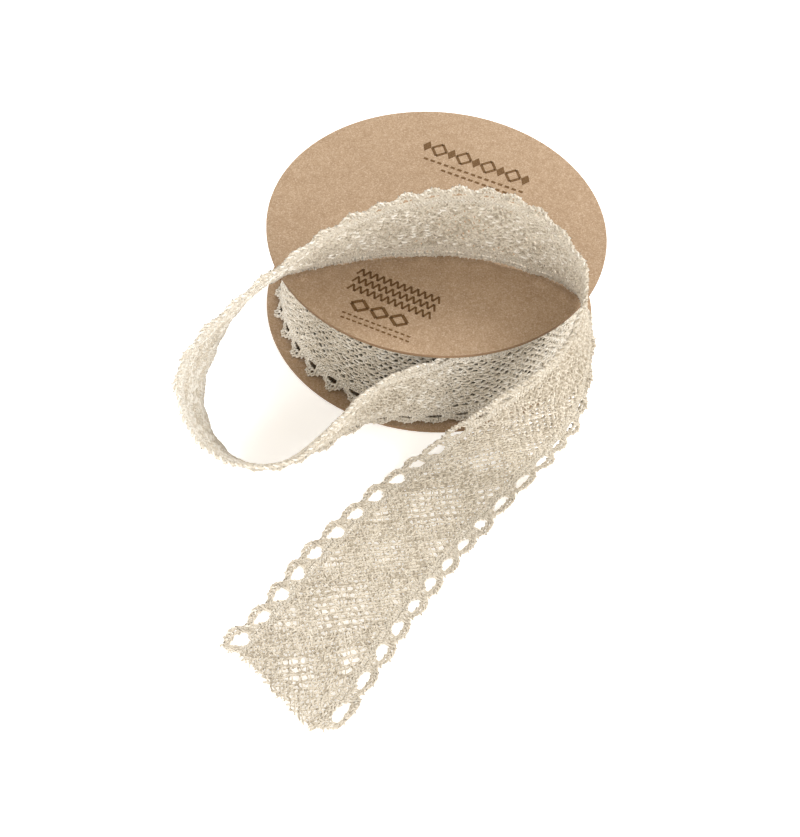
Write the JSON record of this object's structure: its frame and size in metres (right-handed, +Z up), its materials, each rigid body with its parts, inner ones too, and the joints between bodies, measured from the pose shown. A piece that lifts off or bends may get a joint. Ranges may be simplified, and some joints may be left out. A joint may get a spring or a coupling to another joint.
{
  "type": "spool of lace ribbon",
  "caption": "Spool of cotton lace ribbon: kraft card discs with lace wound between them, its loose end looping over the top and lying flat in front.",
  "frame": {"origin": "on the spool's axis, at the underside of the lower disc", "axes": "+Z up along the spool's axis, +Y away from the loose end, +X to the right as seen from the loose end"},
  "size_m": [0.0925, 0.1587, 0.0544],
  "materials": {
    "kraft_card": "matt brown kraft card with fine fibre flecks",
    "cotton_lace": "matt unbleached cotton bobbin lace"
  },
  "bodies": {
    "root": {"flange_bottom": "kraft_card", "flange_top": "kraft_card", "ribbon_roll": "cotton_lace", "ribbon_loose": "cotton_lace"}
  },
  "joints": []
}
